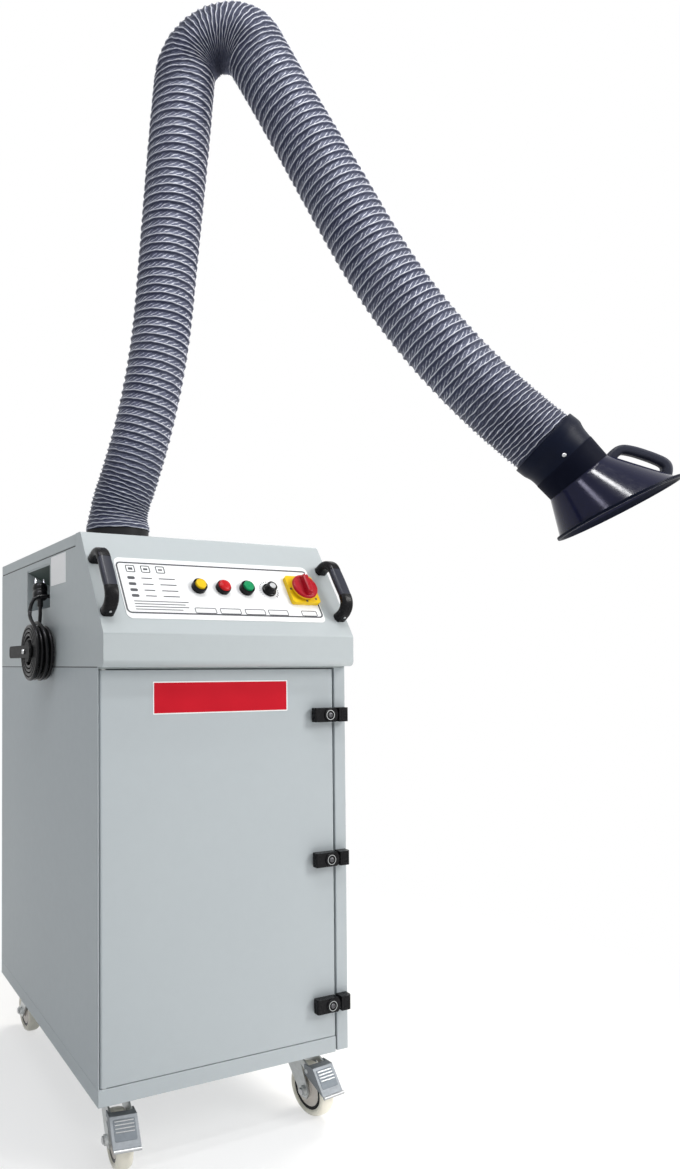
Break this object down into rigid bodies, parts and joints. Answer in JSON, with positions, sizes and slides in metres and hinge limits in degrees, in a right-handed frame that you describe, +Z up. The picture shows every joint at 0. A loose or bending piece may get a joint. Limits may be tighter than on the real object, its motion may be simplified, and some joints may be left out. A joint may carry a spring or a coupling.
{
  "type": "mobile fume extractor",
  "caption": "Mobile fume extractor: a grey filter cabinet on casters with a sloped control console, a wound mains cord and a ribbed extraction arm that ends in a round hood.",
  "frame": {"origin": "on the floor under the middle of the cabinet's footprint", "axes": "+X to the right as seen from the front, +Y to the back, +Z up"},
  "size_m": [1.3587, 0.9646, 2.5648],
  "materials": {
    "grey_paint": "satin powder coat",
    "zinc_steel": "zinc plated",
    "black_plastic": "moulded, glossy",
    "handle_grey": "satin bar with black ends",
    "hood_plastic": "navy black, glossy",
    "plate_film": "printed film, no lettering",
    "nylon": "cream nylon tread, grey hub",
    "seal_rubber": "foam rubber",
    "cord_rubber": "smooth jacket",
    "filter_media": "pleated media in a frame",
    "hose_fabric": "coated fabric over wire",
    "aluminium": "drawn tube",
    "yellow_plastic": "moulded",
    "red_plastic": "moulded",
    "green_plastic": "moulded"
  },
  "bodies": {
    "cabinet": {"back_panel": "grey_paint", "base_plinth": "grey_paint", "button_bezels": "black_plastic", "caster_plates": "zinc_steel", "console_shell": "grey_paint", "control_plate": "plate_film", "cord_coil": "cord_rubber", "cord_gland": "black_plastic", "cord_hanger": "black_plastic", "cord_lead_in": "cord_rubber", "cord_lead_out": "cord_rubber", "deck_plate": "grey_paint", "electrics_box": "grey_paint", "fan_motor": "grey_paint", "fan_scroll": "grey_paint", "filter_shelf": "grey_paint", "front_frame": "grey_paint", "hinge_pins": "zinc_steel", "inlet_duct": "grey_paint", "latch_keepers": "black_plastic", "left_side_panel": "grey_paint", "main_filter": "filter_media", "mains_plug": "cord_rubber", "pilot_lamp": "red_plastic", "prefilter_panel": "filter_media", "pull_handles": "handle_grey", "right_side_panel": "grey_paint", "switch_plate": "yellow_plastic", "top_cover": "grey_paint"},
    "door": {"door_panel": "grey_paint", "door_seal": "seal_rubber"},
    "latch_top": {"latch_lever_top": "black_plastic"},
    "latch_middle": {"latch_lever_middle": "black_plastic"},
    "latch_bottom": {"latch_lever_bottom": "black_plastic"},
    "fork_front_left": {"caster_fork_front_left": "zinc_steel"},
    "wheel_front_left": {"caster_wheel_front_left": "nylon"},
    "fork_front_right": {"caster_fork_front_right": "zinc_steel"},
    "wheel_front_right": {"caster_wheel_front_right": "nylon"},
    "fork_rear_left": {"caster_fork_rear_left": "zinc_steel"},
    "wheel_rear_left": {"caster_wheel_rear_left": "nylon"},
    "fork_rear_right": {"caster_fork_rear_right": "zinc_steel"},
    "wheel_rear_right": {"caster_wheel_rear_right": "nylon"},
    "pedal_front_left": {"brake_pedal_front_left": "zinc_steel"},
    "pedal_front_right": {"brake_pedal_front_right": "zinc_steel"},
    "yellow_button": {"yellow_button": "yellow_plastic"},
    "green_button": {"green_button": "green_plastic"},
    "speed_knob": {"speed_knob": "black_plastic"},
    "switch_dial": {"switch_dial": "red_plastic"},
    "impeller": {"fan_impeller": "aluminium"},
    "turntable": {"turntable": "black_plastic", "hose_shoulder": "hose_fabric"},
    "lower_arm": {"lower_arm_link": "aluminium", "hose_lower": "hose_fabric", "hose_elbow": "hose_fabric"},
    "upper_arm": {"upper_arm_link": "aluminium", "hose_upper": "hose_fabric", "hose_wrist": "hose_fabric"},
    "hood": {"hood": "hood_plastic", "hood_grip": "hood_plastic"}
  },
  "joints": [
    {"name": "door_hinge", "type": "hinge", "parent": "cabinet", "child": "door", "pos_m": [-0.2575, -0.334, 0.535], "axis": [0, 0, -1], "range_deg": [0, 100]},
    {"name": "latch_top_turn", "type": "hinge", "parent": "door", "child": "latch_top", "pos_m": [0.219, -0.342, 0.811], "axis": [0, -1, 0], "range_deg": [0, 90]},
    {"name": "latch_middle_turn", "type": "hinge", "parent": "door", "child": "latch_middle", "pos_m": [0.219, -0.342, 0.524], "axis": [0, -1, 0], "range_deg": [0, 90]},
    {"name": "latch_bottom_turn", "type": "hinge", "parent": "door", "child": "latch_bottom", "pos_m": [0.219, -0.342, 0.237], "axis": [0, -1, 0], "range_deg": [0, 90]},
    {"name": "swivel_front_left", "type": "hinge", "parent": "cabinet", "child": "fork_front_left", "pos_m": [-0.208, -0.262, 0.12], "axis": [0, 0, 1], "continuous": true},
    {"name": "roll_front_left", "type": "hinge", "parent": "fork_front_left", "child": "wheel_front_left", "pos_m": [-0.21329, -0.29963, 0.05], "axis": [0.9903, -0.1392, 0], "continuous": true},
    {"name": "swivel_front_right", "type": "hinge", "parent": "cabinet", "child": "fork_front_right", "pos_m": [0.208, -0.262, 0.12], "axis": [0, 0, 1], "continuous": true},
    {"name": "roll_front_right", "type": "hinge", "parent": "fork_front_right", "child": "wheel_front_right", "pos_m": [0.21197, -0.29979, 0.05], "axis": [0.9945, 0.1045, 0], "continuous": true},
    {"name": "swivel_rear_left", "type": "hinge", "parent": "cabinet", "child": "fork_rear_left", "pos_m": [-0.208, 0.262, 0.12], "axis": [0, 0, 1], "continuous": true},
    {"name": "roll_rear_left", "type": "hinge", "parent": "fork_rear_left", "child": "wheel_rear_left", "pos_m": [-0.208, 0.3, 0.05], "axis": [-1, 0, 0], "continuous": true},
    {"name": "swivel_rear_right", "type": "hinge", "parent": "cabinet", "child": "fork_rear_right", "pos_m": [0.208, 0.262, 0.12], "axis": [0, 0, 1], "continuous": true},
    {"name": "roll_rear_right", "type": "hinge", "parent": "fork_rear_right", "child": "wheel_rear_right", "pos_m": [0.208, 0.3, 0.05], "axis": [-1, 0, 0], "continuous": true},
    {"name": "brake_front_left", "type": "hinge", "parent": "fork_front_left", "child": "pedal_front_left", "pos_m": [-0.21496, -0.31151, 0.094], "axis": [0.9903, -0.1392, 0], "range_deg": [0, 6]},
    {"name": "brake_front_right", "type": "hinge", "parent": "fork_front_right", "child": "pedal_front_right", "pos_m": [0.21323, -0.31173, 0.094], "axis": [0.9945, 0.1045, 0], "range_deg": [0, 6]},
    {"name": "arm_swivel", "type": "hinge", "parent": "cabinet", "child": "turntable", "pos_m": [0, 0.22, 1.2], "axis": [0, 0, 1], "continuous": true},
    {"name": "arm_shoulder", "type": "hinge", "parent": "turntable", "child": "lower_arm", "pos_m": [0.00083, 0.21935, 1.28497], "axis": [0.6157, 0.788, 0], "range_deg": [-6, 18], "deforming": ["hose_shoulder"]},
    {"name": "arm_elbow", "type": "hinge", "parent": "lower_arm", "child": "upper_arm", "pos_m": [0.20214, 0.06207, 2.4874], "axis": [0.6157, 0.788, 0], "range_deg": [-65, 8], "deforming": ["hose_elbow"]},
    {"name": "hood_tilt", "type": "hinge", "parent": "upper_arm", "child": "hood", "pos_m": [0.78686, -0.39476, 1.41319], "axis": [0.6157, 0.788, 0], "range_deg": [-35, 35], "deforming": ["hose_wrist"]},
    {"name": "yellow_button_press", "type": "slide", "parent": "cabinet", "child": "yellow_button", "axis": [0, 0.8529, -0.5222], "range_m": [0, 0.004], "stiffness_N_per_m": 300, "springref_m": -0.002},
    {"name": "green_button_press", "type": "slide", "parent": "cabinet", "child": "green_button", "axis": [0, 0.8529, -0.5222], "range_m": [0, 0.004], "stiffness_N_per_m": 300, "springref_m": -0.002},
    {"name": "speed_turn", "type": "hinge", "parent": "cabinet", "child": "speed_knob", "pos_m": [0.106, -0.31598, 1.05978], "axis": [0, -0.8529, 0.5222], "range_deg": [-135, 135]},
    {"name": "switch_turn", "type": "hinge", "parent": "cabinet", "child": "switch_dial", "pos_m": [0.182, -0.31598, 1.05978], "axis": [0, -0.8529, 0.5222], "range_deg": [0, 90]},
    {"name": "fan_spin", "type": "hinge", "parent": "cabinet", "child": "impeller", "pos_m": [0, 0.01315, 0.41], "axis": [0, 0, 1], "continuous": true}
  ]
}
